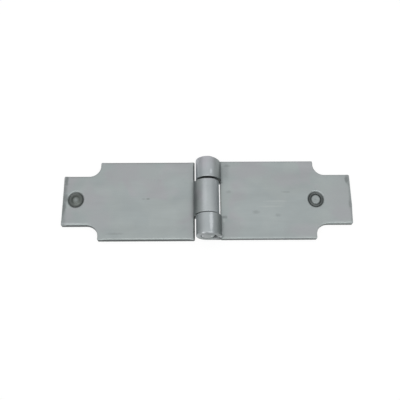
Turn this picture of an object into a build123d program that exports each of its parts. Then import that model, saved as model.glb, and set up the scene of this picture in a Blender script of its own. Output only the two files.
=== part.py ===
"""Weld-on hinge: two 3 mm leaves with rolled knuckles, joined by an 8 mm pin.

Millimetres. X runs across the opened hinge, with the right leaf on +X, Y runs
along the pin and Z is up. The origin is on the floor under the middle of the pin.
"""
from math import cos, radians, sin, sqrt
import os

from build123d import *

# Strip, pin and leaf outline
plate_thickness = 3.0
pin_diameter = 8.0
leaf_reach = 87.5  # pin axis to the outer end of a leaf
leaf_width = 50.5
shoulder_reach = 65.4  # pin axis to the step between the wide part and the neck
notch_radius = 6.9
notch_straight = 2.4  # straight part of each shoulder, outside the notch's arc
corner_round = 0.8

# Rolled knuckles
near_knuckle_length = 13.0
far_knuckle_length = 13.6
near_setback = 0.2  # the roll ends this far inside the edge of its leaf
far_setback = 1.2
near_seam = 0.25  # end gap between the middle knuckle and its neighbours
far_seam = 0.95
slit = 0.8  # gap between a knuckle and the edge of the other leaf
running_clearance = 0.06  # round the pin in the turning knuckle
open_radius = 5.4  # inside radius of the last part of the roll, which stands open
open_turn = 90.0  # degrees that this part turns, from the top of the roll to its lip
lip_slant = 15.0  # degrees by which the inner corner of the lip stops sooner
leaf_stagger = 0.5  # end play, taken up with the left leaf towards the near end

# Edges and pressed marks
top_edge_round = 0.6
bottom_edge_break = 0.2
end_rim_round = 0.5  # rims at the two ends of the barrel
seam_rim_break = 0.3  # rims that face another knuckle
lip_round = 0.4
pin_chamfer = 0.5
mark_diameter = 10.0
mark_depth = 1.2
mark_wall = 0.9  # plan width of each sloping side of the ring
right_mark_reach = 65.9
right_boss_diameter = 5.0
right_boss_drop = 0.2  # top of the boss below the face of the leaf
left_mark_reach = 79.7
left_boss_diameter = 3.8
left_boss_drop = 0.5

# Worked out from the sizes above
pin_radius = pin_diameter / 2
axis_height = pin_radius + plate_thickness
inner_edge = axis_height + slit
neck_width = leaf_width - 2 * (notch_radius + notch_straight)
tail_overlap = plate_thickness
right_shift = leaf_stagger / 2
left_shift = -leaf_stagger / 2
near_end = right_shift - leaf_width / 2 + near_setback
far_end = right_shift + leaf_width / 2 - far_setback
near_inner_end = near_end + near_knuckle_length
far_inner_end = far_end - far_knuckle_length
middle_near_end = near_inner_end + near_seam
middle_far_end = far_inner_end - far_seam


def on_arc(height, radius, angle, side):
    """Point on an arc about x = 0 at a height, at an angle from the leaf's side of the pin."""
    return (side * radius * cos(radians(angle)), height + radius * sin(radians(angle)))


def plate(side, shift):
    """Flat part of a leaf: wide at the pin, notched down to a neck at the outer end."""
    half_width = leaf_width / 2
    half_neck = neck_width / 2
    arc_centre = (shoulder_reach + notch_radius, half_neck + notch_radius)
    arc_middle = (
        arc_centre[0] - notch_radius * cos(radians(45)),
        arc_centre[1] - notch_radius * sin(radians(45)),
    )
    corners = [
        (inner_edge, half_width),
        (shoulder_reach, half_width),
        (leaf_reach, half_neck),
    ]
    with BuildSketch(Plane.XY) as outline:
        with BuildLine() as half:
            Polyline((side * inner_edge, 0), (side * inner_edge, half_width),
                     (side * shoulder_reach, half_width), (side * shoulder_reach, arc_centre[1]))
            ThreePointArc((side * shoulder_reach, arc_centre[1]),
                          (side * arc_middle[0], arc_middle[1]),
                          (side * arc_centre[0], half_neck))
            Polyline((side * arc_centre[0], half_neck), (side * leaf_reach, half_neck),
                     (side * leaf_reach, 0))
            mirror(about=Plane.XZ)
        make_face()
        convex = [v for v in outline.vertices()
                  if any(abs(abs(v.X) - x) < 0.01 and abs(abs(v.Y) - y) < 0.01 for x, y in corners)]
        fillet(convex, corner_round)
    with BuildPart(mode=Mode.PRIVATE) as blank:
        with Locations((0, shift, 0)):
            add(outline.sketch)
        extrude(amount=plate_thickness)
        fillet(blank.edges().group_by(Axis.Z)[-1], top_edge_round)
        chamfer(blank.edges().group_by(Axis.Z)[0], bottom_edge_break)
    return blank.part


def knuckle(side, bore_radius, low_y, high_y):
    """Rolled end of the strip: it passes under the pin, round the far side and over it.

    From the top on the roll is wider and stands off the pin, and its slanted lip stops
    above the leaf's own top face. A rim at an end of the barrel is rounded, and a rim at a
    seam only has its corner taken off.
    """
    outer_radius = axis_height
    open_height = axis_height + pin_radius - open_radius
    open_inner = open_radius + bore_radius - pin_radius
    open_outer = open_radius + plate_thickness
    lip_angle = 90 - open_turn
    slant_angle = lip_angle + lip_slant
    outer_lip = on_arc(open_height, open_outer, lip_angle, side)
    inner_lip = on_arc(open_height, open_inner, slant_angle, side)
    bore_start = sqrt(bore_radius ** 2 - pin_radius ** 2)
    tail_end = inner_edge + tail_overlap
    section_plane = Plane(origin=(0, high_y, 0), x_dir=(1, 0, 0), z_dir=(0, -1, 0))
    with BuildPart(mode=Mode.PRIVATE) as rolled:
        with BuildSketch(section_plane) as section:
            with BuildLine():
                Line((side * tail_end, 0), (0, 0))
                ThreePointArc((0, 0), on_arc(axis_height, outer_radius, 180, side),
                              on_arc(axis_height, outer_radius, 90, side))
                ThreePointArc(on_arc(open_height, open_outer, 90, side),
                              on_arc(open_height, open_outer, (90 + lip_angle) / 2, side),
                              outer_lip)
                Line(outer_lip, inner_lip)
                ThreePointArc(inner_lip,
                              on_arc(open_height, open_inner, (90 + slant_angle) / 2, side),
                              on_arc(open_height, open_inner, 90, side))
                ThreePointArc(on_arc(axis_height, bore_radius, 90, side),
                              on_arc(axis_height, bore_radius, 180, side),
                              (side * bore_start, plate_thickness))
                Polyline((side * bore_start, plate_thickness), (side * tail_end, plate_thickness),
                         (side * tail_end, 0))
            make_face()
            fillet(section.vertices().sort_by_distance(outer_lip)[0], lip_round)
        extrude(amount=high_y - low_y)
        for rim_y in (low_y, high_y):
            rim = rolled.edges().filter_by(GeomType.CIRCLE).filter_by(
                lambda edge: min(abs(edge.radius - outer_radius), abs(edge.radius - open_outer)) < 0.01
                and abs(edge.center().Y - rim_y) < 0.01)
            if rim_y in (near_end, far_end):
                fillet(rim, end_rim_round)
            else:
                chamfer(rim, seam_rim_break)
    return rolled.part


def mark(side, reach, boss_diameter, boss_drop):
    """Ring pressed into the top face round a small flat boss, as a solid to take away."""
    outer = mark_diameter / 2
    boss = boss_diameter / 2
    floor = plate_thickness - mark_depth
    boss_top = plate_thickness - boss_drop
    above = plate_thickness + mark_depth
    mark_plane = Plane(origin=(side * reach, 0, 0), x_dir=(1, 0, 0), z_dir=(0, -1, 0))
    with BuildPart(mode=Mode.PRIVATE) as pressed:
        with BuildSketch(mark_plane):
            with BuildLine():
                Polyline((0, boss_top), (boss, boss_top), (boss + mark_wall, floor),
                         (outer - mark_wall, floor), (outer, plate_thickness), (outer, above),
                         (0, above), (0, boss_top))
            make_face()
        revolve(axis=Axis((side * reach, 0, 0), (0, 0, 1)))
    return pressed.part


# Right leaf: outer knuckles rolled tight on the pin
with BuildPart() as right_leaf:
    add(plate(1, right_shift))
    add(knuckle(1, pin_radius, near_end, near_inner_end))
    add(knuckle(1, pin_radius, far_inner_end, far_end))
    add(mark(1, right_mark_reach, right_boss_diameter, right_boss_drop), mode=Mode.SUBTRACT)
right_leaf.part.label = "right_leaf"

# Left leaf: one middle knuckle that turns on the pin
with BuildPart() as left_leaf:
    add(plate(-1, left_shift))
    add(knuckle(-1, pin_radius + running_clearance, middle_near_end, middle_far_end))
    add(mark(-1, left_mark_reach, left_boss_diameter, left_boss_drop), mode=Mode.SUBTRACT)
left_leaf.part.label = "left_leaf"

# Pin: plain round bar, cut flush with the outer knuckles
with BuildPart() as pin:
    with BuildSketch(Plane(origin=(0, far_end, axis_height), x_dir=(1, 0, 0), z_dir=(0, -1, 0))):
        Circle(pin_radius)
    extrude(amount=far_end - near_end)
    chamfer(pin.edges().filter_by(GeomType.CIRCLE), pin_chamfer)
pin.part.label = "pin"

os.makedirs("parts", exist_ok=True)
export_step(right_leaf.part, "parts/right_leaf.step")
export_step(left_leaf.part, "parts/left_leaf.step")
export_step(pin.part, "parts/pin.step")
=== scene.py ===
# %% [markdown]
# # A weld-on hinge in bare rolled steel
# Two steel leaves and a pin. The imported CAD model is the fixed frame: it says where each piece
# is, in metres, with the pin along Y and the marked faces up. Everything below is placed from it.

# %% Load the frame
import math

import bmesh
import bpy
import numpy as np
from mathutils import Matrix, Vector


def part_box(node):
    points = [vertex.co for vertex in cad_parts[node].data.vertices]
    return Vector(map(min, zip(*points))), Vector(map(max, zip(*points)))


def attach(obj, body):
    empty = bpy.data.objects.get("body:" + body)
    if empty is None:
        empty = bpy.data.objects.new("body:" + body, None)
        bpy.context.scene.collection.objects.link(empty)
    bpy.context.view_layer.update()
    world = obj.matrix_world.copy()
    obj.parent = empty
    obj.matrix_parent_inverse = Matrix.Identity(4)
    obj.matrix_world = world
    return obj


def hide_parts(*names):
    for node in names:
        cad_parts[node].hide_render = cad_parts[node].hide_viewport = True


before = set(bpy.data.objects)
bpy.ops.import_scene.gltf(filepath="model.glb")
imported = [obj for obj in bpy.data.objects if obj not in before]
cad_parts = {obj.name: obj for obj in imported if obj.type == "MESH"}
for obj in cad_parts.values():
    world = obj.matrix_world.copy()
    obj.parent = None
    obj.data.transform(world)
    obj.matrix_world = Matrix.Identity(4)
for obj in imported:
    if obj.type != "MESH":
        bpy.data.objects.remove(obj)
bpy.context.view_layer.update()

MM = 0.001
print("nodes:", sorted(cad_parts))

# %% [markdown]
# ## Camera
# The photograph looks down at about 68 degrees, nearly square to the pin. A camera can be set
# by eye or worked out from straight edges. The leaves' long edges gave this one, so it is
# written as a target, two angles, a distance and a small roll. The three camera axes are built
# from those and become the columns of its matrix.

# %% Place the camera
IMAGE_WIDTH = 400
FOCAL_PIXELS = 620.77
SENSOR_WIDTH_MM = 36.0
target = Vector((-4.435, 0.995, 0.0)) * MM
distance = 379.235 * MM
elevation = math.radians(67.927)
azimuth = math.radians(-1.281)
roll = math.radians(0.92)

back = Vector((
    math.sin(azimuth) * math.cos(elevation),
    -math.cos(azimuth) * math.cos(elevation),
    math.sin(elevation),
))
level_right = (-back).cross(Vector((0, 0, 1))).normalized()
level_up = level_right.cross(-back)
right = math.cos(roll) * level_right + math.sin(roll) * level_up
up = math.cos(roll) * level_up - math.sin(roll) * level_right

camera_data = bpy.data.cameras.new("camera")
camera_data.sensor_fit = "HORIZONTAL"
camera_data.sensor_width = SENSOR_WIDTH_MM
camera_data.lens = SENSOR_WIDTH_MM * FOCAL_PIXELS / IMAGE_WIDTH
camera_data.clip_start = 0.01
camera = bpy.data.objects.new("camera", camera_data)
axes = Matrix((right, up, back)).transposed().to_4x4()
camera.matrix_world = Matrix.Translation(target + distance * back) @ axes
bpy.context.scene.collection.objects.link(camera)
bpy.context.scene.camera = camera
bpy.context.scene.view_settings.view_transform = "Standard"
print("camera at", [round(c, 3) for c in camera.matrix_world.translation])
print("lens", round(camera_data.lens, 2), "mm")

# %% [markdown]
# ## Light
# Bare metal shows what is round it more than it shows lamps, so the look is set by a white
# world, as in a light tent. A broad lamp straight above lifts the flat faces. A narrow one in
# front of it is what the rounded near edges mirror as a bright line. Spot lamps would be
# simpler, but they would leave hard glints on the rolls.

# %% World and lamps
SCENE = bpy.context.scene


def white_world(strength):
    """A world that is plain white in every direction, at the given strength."""
    world = bpy.data.worlds.new("light_tent")
    world.use_nodes = True
    tent = world.node_tree.nodes["Background"]
    tent.inputs["Color"].default_value = (1, 1, 1, 1)
    tent.inputs["Strength"].default_value = strength
    return world


def soft_lamp(name, direction, reach, length, width, radiance):
    """A long area lamp that hangs at reach along direction, faces the origin and lies along X.

    Its power is worked out from how bright its face is to be, against a world of one.
    """
    lamp = bpy.data.lights.new(name, "AREA")
    lamp.shape = "RECTANGLE"
    lamp.size = length
    lamp.size_y = width
    lamp.energy = math.pi * length * width * radiance
    place = Vector(direction).normalized() * reach
    obj = bpy.data.objects.new(name, lamp)
    turn = place.to_track_quat("Z", "Y").to_matrix().to_4x4()
    obj.matrix_world = Matrix.Translation(place) @ turn
    SCENE.collection.objects.link(obj)
    return obj


SCENE.world = white_world(1.0)
soft_lamp("lamp_above", (0.0, 0.25, 0.95), 0.95, 1.4, 1.4, 0.26)
soft_lamp("lamp_front", (0.0, -0.35, 0.94), 0.9, 1.2, 0.3, 2.2)

# %% [markdown]
# ## Ground
# The hinge lies on white card. A card that is painted white would throw much light back up at
# the steel, so this one is painted dark. It also glows, but only where the camera or a mirroring
# surface looks at it. The painted part keeps a faint shadow under the hinge. A material is a
# tree of nodes, and the small tools here make a node and fill or link its inputs in one line.

# %% Lay down the white card
GROUND_HALF = 3.0
CARD_PAINT = 0.09
CARD_GLOW = 0.9


def feed(tree, socket, value):
    """Links value to the socket if it comes from a node, and sets it there if it is a number."""
    if isinstance(value, bpy.types.NodeSocket):
        tree.links.new(value, socket)
    else:
        socket.default_value = value


def filled(tree, kind, *values):
    """A new node of a kind, with its inputs fed in their order, and its first output."""
    node = tree.nodes.new(kind)
    for socket, value in zip(node.inputs, values):
        feed(tree, socket, value)
    return node.outputs[0]


def maths(tree, operation, *values, clamp=False):
    """One Math node, and its result."""
    result = filled(tree, "ShaderNodeMath", *values)
    result.node.operation = operation
    result.node.use_clamp = clamp
    return result


def blank_material(name):
    """A material with nothing in it but its output: the material, its tree, and the socket."""
    material = bpy.data.materials.new(name)
    material.use_nodes = True
    tree = material.node_tree
    tree.nodes.clear()
    return material, tree, tree.nodes.new("ShaderNodeOutputMaterial").inputs["Surface"]


def flat_card(name, corners, material):
    """A flat sheet with four corners."""
    mesh = bpy.data.meshes.new(name)
    mesh.from_pydata(corners, [], [(0, 1, 2, 3)])
    mesh.materials.append(material)
    obj = bpy.data.objects.new(name, mesh)
    SCENE.collection.objects.link(obj)
    return obj


ground_finish, tree, surface = blank_material("white_card")
path = tree.nodes.new("ShaderNodeLightPath").outputs
mirrored = maths(tree, "ADD", path["Is Glossy Ray"], path["Is Transmission Ray"])
seen = maths(tree, "ADD", path["Is Camera Ray"], mirrored, clamp=True)
paint = filled(tree, "ShaderNodeBsdfDiffuse", (CARD_PAINT, CARD_PAINT, CARD_PAINT, 1))
glow = filled(tree, "ShaderNodeEmission", (1, 1, 1, 1), CARD_GLOW)
lit = filled(tree, "ShaderNodeAddShader", paint, glow)
feed(tree, surface, filled(tree, "ShaderNodeMixShader", seen, paint, lit))
ground = flat_card("ground", [
    (-GROUND_HALF, -GROUND_HALF, 0), (GROUND_HALF, -GROUND_HALF, 0),
    (GROUND_HALF, GROUND_HALF, 0), (-GROUND_HALF, GROUND_HALF, 0)], ground_finish)
print("ground", 2 * GROUND_HALF, "m square")

# %% [markdown]
# ## Cards at the two sides
# In the photograph both flanks of the barrel are darker than its top, so something pale grey
# stood low on either side. Two upright cards, which the camera doesn't see, do the same here. A
# world with a grey horizon would too, but it would darken the end faces of the barrel as well.

# %% Put up the cards
CARD_REACH = 0.5
CARD_HEIGHT = 0.34
CARD_HALF_LENGTH = 0.8
CARD_TONE = 0.6
card_finish, tree, surface = blank_material("grey_card")
feed(tree, surface, filled(tree, "ShaderNodeEmission", (1, 1, 1, 1), CARD_TONE))
for name, x in (("card_left", -CARD_REACH), ("card_right", CARD_REACH)):
    card = flat_card(name, [
        (x, -CARD_HALF_LENGTH, 0), (x, CARD_HALF_LENGTH, 0),
        (x, CARD_HALF_LENGTH, CARD_HEIGHT), (x, -CARD_HALF_LENGTH, CARD_HEIGHT)], card_finish)
    card.visible_camera = False
    print(name, "stands at x =", x, "m")

# %% [markdown]
# ## Sizes
# The pieces are rebuilt as finer surfaces that stand for the CAD nodes, so their main sizes are
# read from the nodes' boxes. What a box can't tell, such as the notch or the width of a
# knuckle, is written here in millimetres.

# %% Read the sizes
pin_low, pin_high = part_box("pin")
right_low, right_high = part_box("right_leaf")
left_low, left_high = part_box("left_leaf")
pin_radius = (pin_high.x - pin_low.x) / 2
roll_radius = (right_high.z - right_low.z) / 2
axis_height = roll_radius
sheet = roll_radius - pin_radius
leaf_reach = right_high.x
leaf_width = right_high.y - right_low.y
right_middle = (right_high.y + right_low.y) / 2
left_middle = (left_high.y + left_low.y) / 2

shoulder_reach = 65.4 * MM
notch_radius = 6.9 * MM
notch_straight = 2.4 * MM
corner_round = 0.8 * MM
slit = 0.8 * MM
inner_edge = roll_radius + slit
tail_overlap = 3.0 * MM
print("sheet", round(sheet / MM, 2), "mm, roll radius", round(roll_radius / MM, 2), "mm")

# %% [markdown]
# ## Helpers for surfaces
# A surface here is a block of points in rows and columns, worked out at once as an array. Four
# neighbouring points make a face. Faces that run the wrong way round are turned by a flag, and
# the seams are closed by merging points that fall on each other.

# %% Rows and columns of points to a mesh
MERGE_DISTANCE = 1e-6


def quads(rows, columns, turned=False):
    """Corner numbers of the faces between neighbouring rows and columns.

    A face looks along its row direction crossed with its column direction, unless turned.
    """
    number = np.arange(rows * columns).reshape(rows, columns)
    faces = np.stack([number[:-1, :-1], number[1:, :-1], number[1:, 1:], number[:-1, 1:]], axis=-1)
    faces = faces.reshape(-1, 4)
    return faces[:, ::-1] if turned else faces


def piece_from_grids(name, grids):
    """One closed mesh object from blocks of points, each with its turned flag and cut values.

    The cut value is stored on each point and is one where the face was sheared, else zero.
    """
    points, faces, cuts, start = [], [], [], 0
    for grid, turned, cut in grids:
        rows, columns = grid.shape[:2]
        points.append(grid.reshape(-1, 3))
        faces.append(quads(rows, columns, turned) + start)
        start += rows * columns
        cuts.append(np.broadcast_to(cut, (rows, columns)).reshape(-1))
    mesh = bpy.data.meshes.new(name)
    mesh.from_pydata(np.concatenate(points), [], np.concatenate(faces))
    layer = mesh.attributes.new("cut", "FLOAT", "POINT")
    layer.data.foreach_set("value", np.concatenate(cuts).astype(np.float32))
    shape = bmesh.new()
    shape.from_mesh(mesh)
    bmesh.ops.remove_doubles(shape, verts=shape.verts, dist=MERGE_DISTANCE)
    bmesh.ops.dissolve_degenerate(shape, edges=shape.edges, dist=MERGE_DISTANCE / 2)
    shape.to_mesh(mesh)
    shape.free()
    obj = bpy.data.objects.new(name, mesh)
    SCENE.collection.objects.link(obj)
    print(name, soundness(mesh))
    return obj


def soundness(mesh):
    """What tells whether a mesh is closed and faces outwards, in words."""
    shape = bmesh.new()
    shape.from_mesh(mesh)
    loose = sum(1 for edge in shape.edges if not edge.is_manifold)
    volume = shape.calc_volume(signed=True) / MM ** 3
    triangles = sum(len(face.verts) - 2 for face in shape.faces)
    shape.free()
    return f"volume {volume:.0f} mm3, {loose} open edges, {triangles} triangles"


print("a grid of 3 by 4 points has", len(quads(3, 4)), "faces")

# %% [markdown]
# ## Helpers for lines
# The outlines and profiles are drawn with straight lines and arcs that meet end to end, as on
# paper. Points of a path can then be asked for by how far along it they lie. Bezier curves could
# do this too, but they are harder to match to sizes in millimetres.

# %% Lines, arcs and places along a path
def line(start, end, spacing=0.05 * MM):
    """Points along a straight line, both ends included."""
    start, end = np.array(start), np.array(end)
    count = max(2, int(np.linalg.norm(end - start) / spacing) + 1)
    return start + (end - start) * np.linspace(0, 1, count)[:, None]


def arc(centre, radius, first, last, spacing=0.02 * MM):
    """Points along an arc from one angle in degrees to another, both ends included."""
    count = max(8, int(abs(math.radians(last - first)) * radius / spacing) + 1)
    angle = np.radians(np.linspace(first, last, count))
    return np.array(centre) + radius * np.stack([np.cos(angle), np.sin(angle)], axis=-1)


def join(*parts):
    """One path from several that meet end to end, with the shared points kept once."""
    path = np.concatenate(parts)
    step = np.linalg.norm(np.diff(path, axis=0), axis=1)
    return path[np.concatenate([[True], step > 1e-9])]


def run_length(path):
    """Length along the path at each of its points, starting from zero."""
    step = np.linalg.norm(np.diff(path, axis=0), axis=1)
    return np.concatenate([[0], np.cumsum(step)])


def stations(path, spacing):
    """Places along the path, as fractions, about spacing apart (one value for each point)."""
    length = run_length(path)
    middle = (spacing[1:] + spacing[:-1]) / 2
    count = np.concatenate([[0], np.cumsum(np.diff(length) / middle)])
    steps = int(round(count[-1]))
    return np.interp(np.linspace(0, count[-1], steps + 1), count, length) / length[-1]


def points_at(path, fractions):
    """Points of the path, with what else is stored for them, at fractions of its length."""
    length = run_length(path[:, :2])
    wanted = fractions * length[-1]
    return np.stack([np.interp(wanted, length, column) for column in path.T], axis=-1)


def with_outward(closed):
    """A closed anticlockwise path with a unit vector out of it added to each of its points."""
    along = np.roll(closed, -1, axis=0) - np.roll(closed, 1, axis=0)
    along = along / np.linalg.norm(along, axis=1)[:, None]
    return np.concatenate([closed, along[:, 1:], -along[:, :1]], axis=1)


quarter_turn = arc((0, 0), corner_round, 0, 90)
print("a corner's arc is", round(run_length(quarter_turn)[-1] / MM, 2), "mm long")

# %% [markdown]
# ## The outline of a leaf
# A leaf is a strip whose two outer corners are notched, which leaves a narrower neck. The die
# that cut it also pulled the top edge down a little, and that roll-over is what catches the
# light. It is narrower at the corners and beside the barrel, so its width is stored with each
# point of the outline. A bevel could only give it one width all round.

# %% The outline of a leaf
half_width = leaf_width / 2
half_neck = half_width - notch_radius - notch_straight
roll_over_at_corner = 0.65 * MM
FADE_FROM_CORNER = 0.4
FADE_FROM_SLIT = 0.6


def roll_over_width(closed, corners, start, roll_width, roll_at_slit):
    """How wide the roll-over is at each point of the outline.

    It grows from its width at a corner with the distance from the corner's arc, and from its
    width beside the barrel with the distance from there, up to its full width. On the sides of
    the shoulders, which face along the leaf, it keeps the width that it has at a corner.
    """
    away = np.linalg.norm(closed[:, None, :2] - corners[None], axis=2).min(axis=1)
    width = np.minimum(roll_width, roll_over_at_corner + FADE_FROM_CORNER * (away - corner_round))
    width = np.minimum(width, roll_at_slit + FADE_FROM_SLIT * (closed[:, 0] - start))
    sideways = np.where(closed[:, 0] < leaf_reach - 2 * MM, np.clip(closed[:, 2], 0, 1), 0)
    return np.minimum(width, roll_width - (roll_width - roll_over_at_corner) * sideways)


def edge_paths(start):
    """The far long edge and the two short ones as bare paths, and the middles of the corners.

    They meet at the middle of the rounded corners. The long edge starts beside the barrel and
    carries the notch, and the short ones run towards +Y.
    """
    r = corner_round
    inner = (start + r, half_width - r)
    outer = (leaf_reach - r, half_neck - r)
    shoulder = (shoulder_reach - r, half_width - r)
    notch = (shoulder_reach + notch_radius, half_neck + notch_radius)
    north = join(
        arc(inner, r, 135, 90),
        line((inner[0], half_width), (shoulder[0], half_width)),
        arc(shoulder, r, 90, 0),
        line((shoulder_reach, shoulder[1]), (shoulder_reach, notch[1])),
        arc(notch, notch_radius, 180, 270),
        line((notch[0], half_neck), (outer[0], half_neck)),
        arc(outer, r, 90, 45),
    )
    east = join(
        arc((outer[0], -outer[1]), r, -45, 0),
        line((leaf_reach, -outer[1]), (leaf_reach, outer[1])),
        arc(outer, r, 0, 45),
    )
    west = join(
        arc((inner[0], -inner[1]), r, 225, 180),
        line((start, -inner[1]), (start, inner[1])),
        arc(inner, r, 180, 135),
    )
    corners = [(x, y * sign) for x, y in (inner, outer, shoulder) for sign in (1, -1)]
    return north, east, west, np.array(corners)


def leaf_edges(start, roll_width, roll_at_slit):
    """The south, east, north and west edge of a leaf that lies towards +X.

    The near long edge is the far one mirrored. Each point holds its place, its outward
    direction and the width of the roll-over, which are worked out on the closed outline.
    """
    north, east, west, corners = edge_paths(start)
    south = north * (1, -1)
    closed = with_outward(np.concatenate([south[:-1], east[:-1], north[::-1][:-1], west[::-1][:-1]]))
    width = roll_over_width(closed, corners, start, roll_width, roll_at_slit)
    closed = np.concatenate([closed, width[:, None]], axis=1)
    closed = np.concatenate([closed, closed[:1]])
    a, b, c = np.cumsum([len(south) - 1, len(east) - 1, len(north) - 1])
    return closed[:a + 1], closed[a:b + 1], closed[b:c + 1][::-1], closed[c:][::-1]


print("leaf", round(2 * half_width / MM, 1), "mm wide, neck", round(2 * half_neck / MM, 1), "mm")

# %% [markdown]
# ## From an outline to a grid
# The top face ends where the roll-over begins, and the underside at its broken edge, so both lie
# inside the outline. Their edges are the outline moved inwards along its own normals. A grid is
# then stretched between the four edges. An inset made with the mouse would give much the same,
# but not rows that follow the notches.

# %% Move an edge inwards and stretch a grid
def inset(path, fractions, share, distance):
    """The path at fractions of its length, moved inwards by a share of the roll-over's width
    and by a distance.
    """
    found = points_at(path, fractions)
    outward = found[:, 2:4] / np.linalg.norm(found[:, 2:4], axis=1)[:, None]
    return found[:, :2] - (share * found[:, 4:] + distance) * outward


def stretched(south, east, north, west, u, v, fade=3):
    """Grid of points inside four edges, given at u along the long edges and v across.

    It starts as the straight-sided patch between the four corners. Each edge then adds how far
    it strays from its own straight line, times the nearness to that edge to the power fade, so
    the notches are met exactly at the edge and have died away towards the middle.
    """
    u, v = u[:, None, None], v[None, :, None]
    sw, se, nw, ne = south[0], south[-1], north[0], north[-1]
    flat = (1 - u) * (1 - v) * sw + u * (1 - v) * se + (1 - u) * v * nw + u * v * ne
    stray_south = south[:, None] - ((1 - u) * sw + u * se)
    stray_north = north[:, None] - ((1 - u) * nw + u * ne)
    stray_west = west[None] - ((1 - v) * sw + v * nw)
    stray_east = east[None] - ((1 - v) * se + v * ne)
    return (flat + stray_south * (1 - v) ** fade + stray_north * v ** fade
            + stray_west * (1 - u) ** fade + stray_east * u ** fade)


sides = [np.array([(0.0, 0.0), (1.0, 0.0)]), np.array([(1.0, 0.0), (1.0, 1.0)]),
         np.array([(0.0, 1.0), (1.0, 1.0)]), np.array([(0.0, 0.0), (0.0, 1.0)])]
square = stretched(*sides, np.array([0.0, 1.0]), np.array([0.0, 1.0]))
print("a square stretched between its own sides has corners", square.reshape(-1, 2).tolist())

# %% [markdown]
# ## The pressed mark
# Near its end each leaf has a ring that was pressed into it round a small boss, as for a
# projection weld. Cutting a ring out with a Boolean would leave sharp corners. Here the top
# face's own points are lowered, by a profile of depth against distance from the ring's middle.

# %% Depth of the pressed mark
mark_outer = 5.0 * MM
mark_wall = 0.9 * MM
mark_depth = 1.2 * MM
mark_tall = 1.07
FINE = 0.2 * MM
COARSE = 0.9 * MM


def mark_sunk(distance, boss_radius, boss_drop):
    """How far the top face is sunk at a distance from the middle of a mark.

    The distance is taken on a plan squeezed across the leaf, as the marks are a little oval.
    A ring with sloping sides goes round a flat boss. The corners of that profile are softened
    by averaging it over a short span, as pressed metal has no sharp corners.
    """
    radii = [0, boss_radius, boss_radius + mark_wall, mark_outer - mark_wall, mark_outer]
    depth = [boss_drop, boss_drop, mark_depth, mark_depth, 0]
    spans = np.linspace(-0.45, 0.45, 13) * MM
    return np.mean([np.interp(np.abs(distance + span), radii, depth) for span in spans], axis=0)


print("deepest", round(float(mark_sunk(np.linspace(0, mark_outer, 99), 0, 0).max()) / MM, 2), "mm")

# %% [markdown]
# ## The sheared edge
# A die leaves a smooth band below the roll-over and lets the rest of the thickness tear, which
# stays rough. A noise texture could fake that, but the teeth would vanish in the outline. Here
# the wall's own points are drawn in by many short waves, which only work in the torn band.

# %% Rough and smooth bands of the cut edge
bottom_break = 0.2 * MM
torn_height = 1.7 * MM
torn_depth = 0.07 * MM
TEARS_GROW_OVER = 0.35 * MM
FOOT = 0.1 * MM
FOOT_FADES_OVER = 0.15 * MM
ENDS_FADE_OVER = 2 * MM
ROLLED_DOWN = 0.12 * MM
SHEARED_OVER = 0.25 * MM


def torn(along, height, seed):
    """How far the torn band of a cut edge is eaten inwards, from zero to one.

    Many short waves along the edge are added up, each with its own length, slant and start, and
    the sum is squashed between zero and one.
    """
    random = np.random.default_rng(seed)
    total = np.zeros(np.broadcast(along, height).shape)
    for wave in np.geomspace(4.0, 0.45, 9) * MM:
        slant = random.uniform(-0.6, 0.6)
        start = random.uniform(0, 2 * math.pi)
        total += (wave / MM) ** 0.35 * np.sin(2 * math.pi * (along + slant * height) / wave + start)
    return 0.5 + 0.5 * np.tanh(total / 1.6)


def edge_profile():
    """The cut edge from the top face down: share of the roll-over, inset, and place in height.

    The last number is one at the top face, falls to zero where the roll-over ends, and goes on
    to minus one at the underside.
    """
    turn = np.radians(np.linspace(0, 90, 10))
    top = np.stack([1 - np.sin(turn), turn * 0, np.cos(turn)], -1)
    wall = np.linspace(0, bottom_break / sheet - 1, 12)[1:]
    straight = np.stack([wall * 0, wall * 0, wall], -1)
    under = np.array([[0.0, bottom_break, -1.0]])
    return np.concatenate([top, straight, under])


print("the edge's profile has", len(edge_profile()), "points")

# %% [markdown]
# ## Where the grid's lines lie
# A leaf is mostly flat, so a fine grid all over would waste faces. The grid's lines lie close
# together at the mark, the corners and the notch, and further apart elsewhere. Subdividing only
# there would leave odd faces where fine meets coarse. Here whole rows and columns are closer.

# %% Where the grid's lines lie
MARK_MARGIN_ALONG = 0.9 * MM
MARK_MARGIN_ACROSS = 0.7 * MM
CORNER_SPACING = FINE / 2
CORNER_SHARE = 1.6
RULER_MARKS = 20001


def lines_along(north, mark_reach):
    """Where the grid's lines meet the long edges, as fractions of them.

    The spacing is finer where the edge passes the mark, and where it turns: it is on an arc if
    its direction changes by more than half of what that arc's radius gives.
    """
    near_mark = np.abs(north[:, 0] - mark_reach) < mark_outer + MARK_MARGIN_ALONG
    turning = np.linalg.norm(np.gradient(north[:, 2:4], axis=0), axis=1)
    turning = turning / np.gradient(run_length(north[:, :2]))
    spacing = np.where(near_mark, FINE, COARSE)
    spacing = np.where(turning > 0.5 / notch_radius, np.minimum(spacing, 2 * FINE), spacing)
    spacing = np.where(turning > 0.5 / corner_round, CORNER_SPACING, spacing)
    return stations(north[:, :2], spacing)


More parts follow.
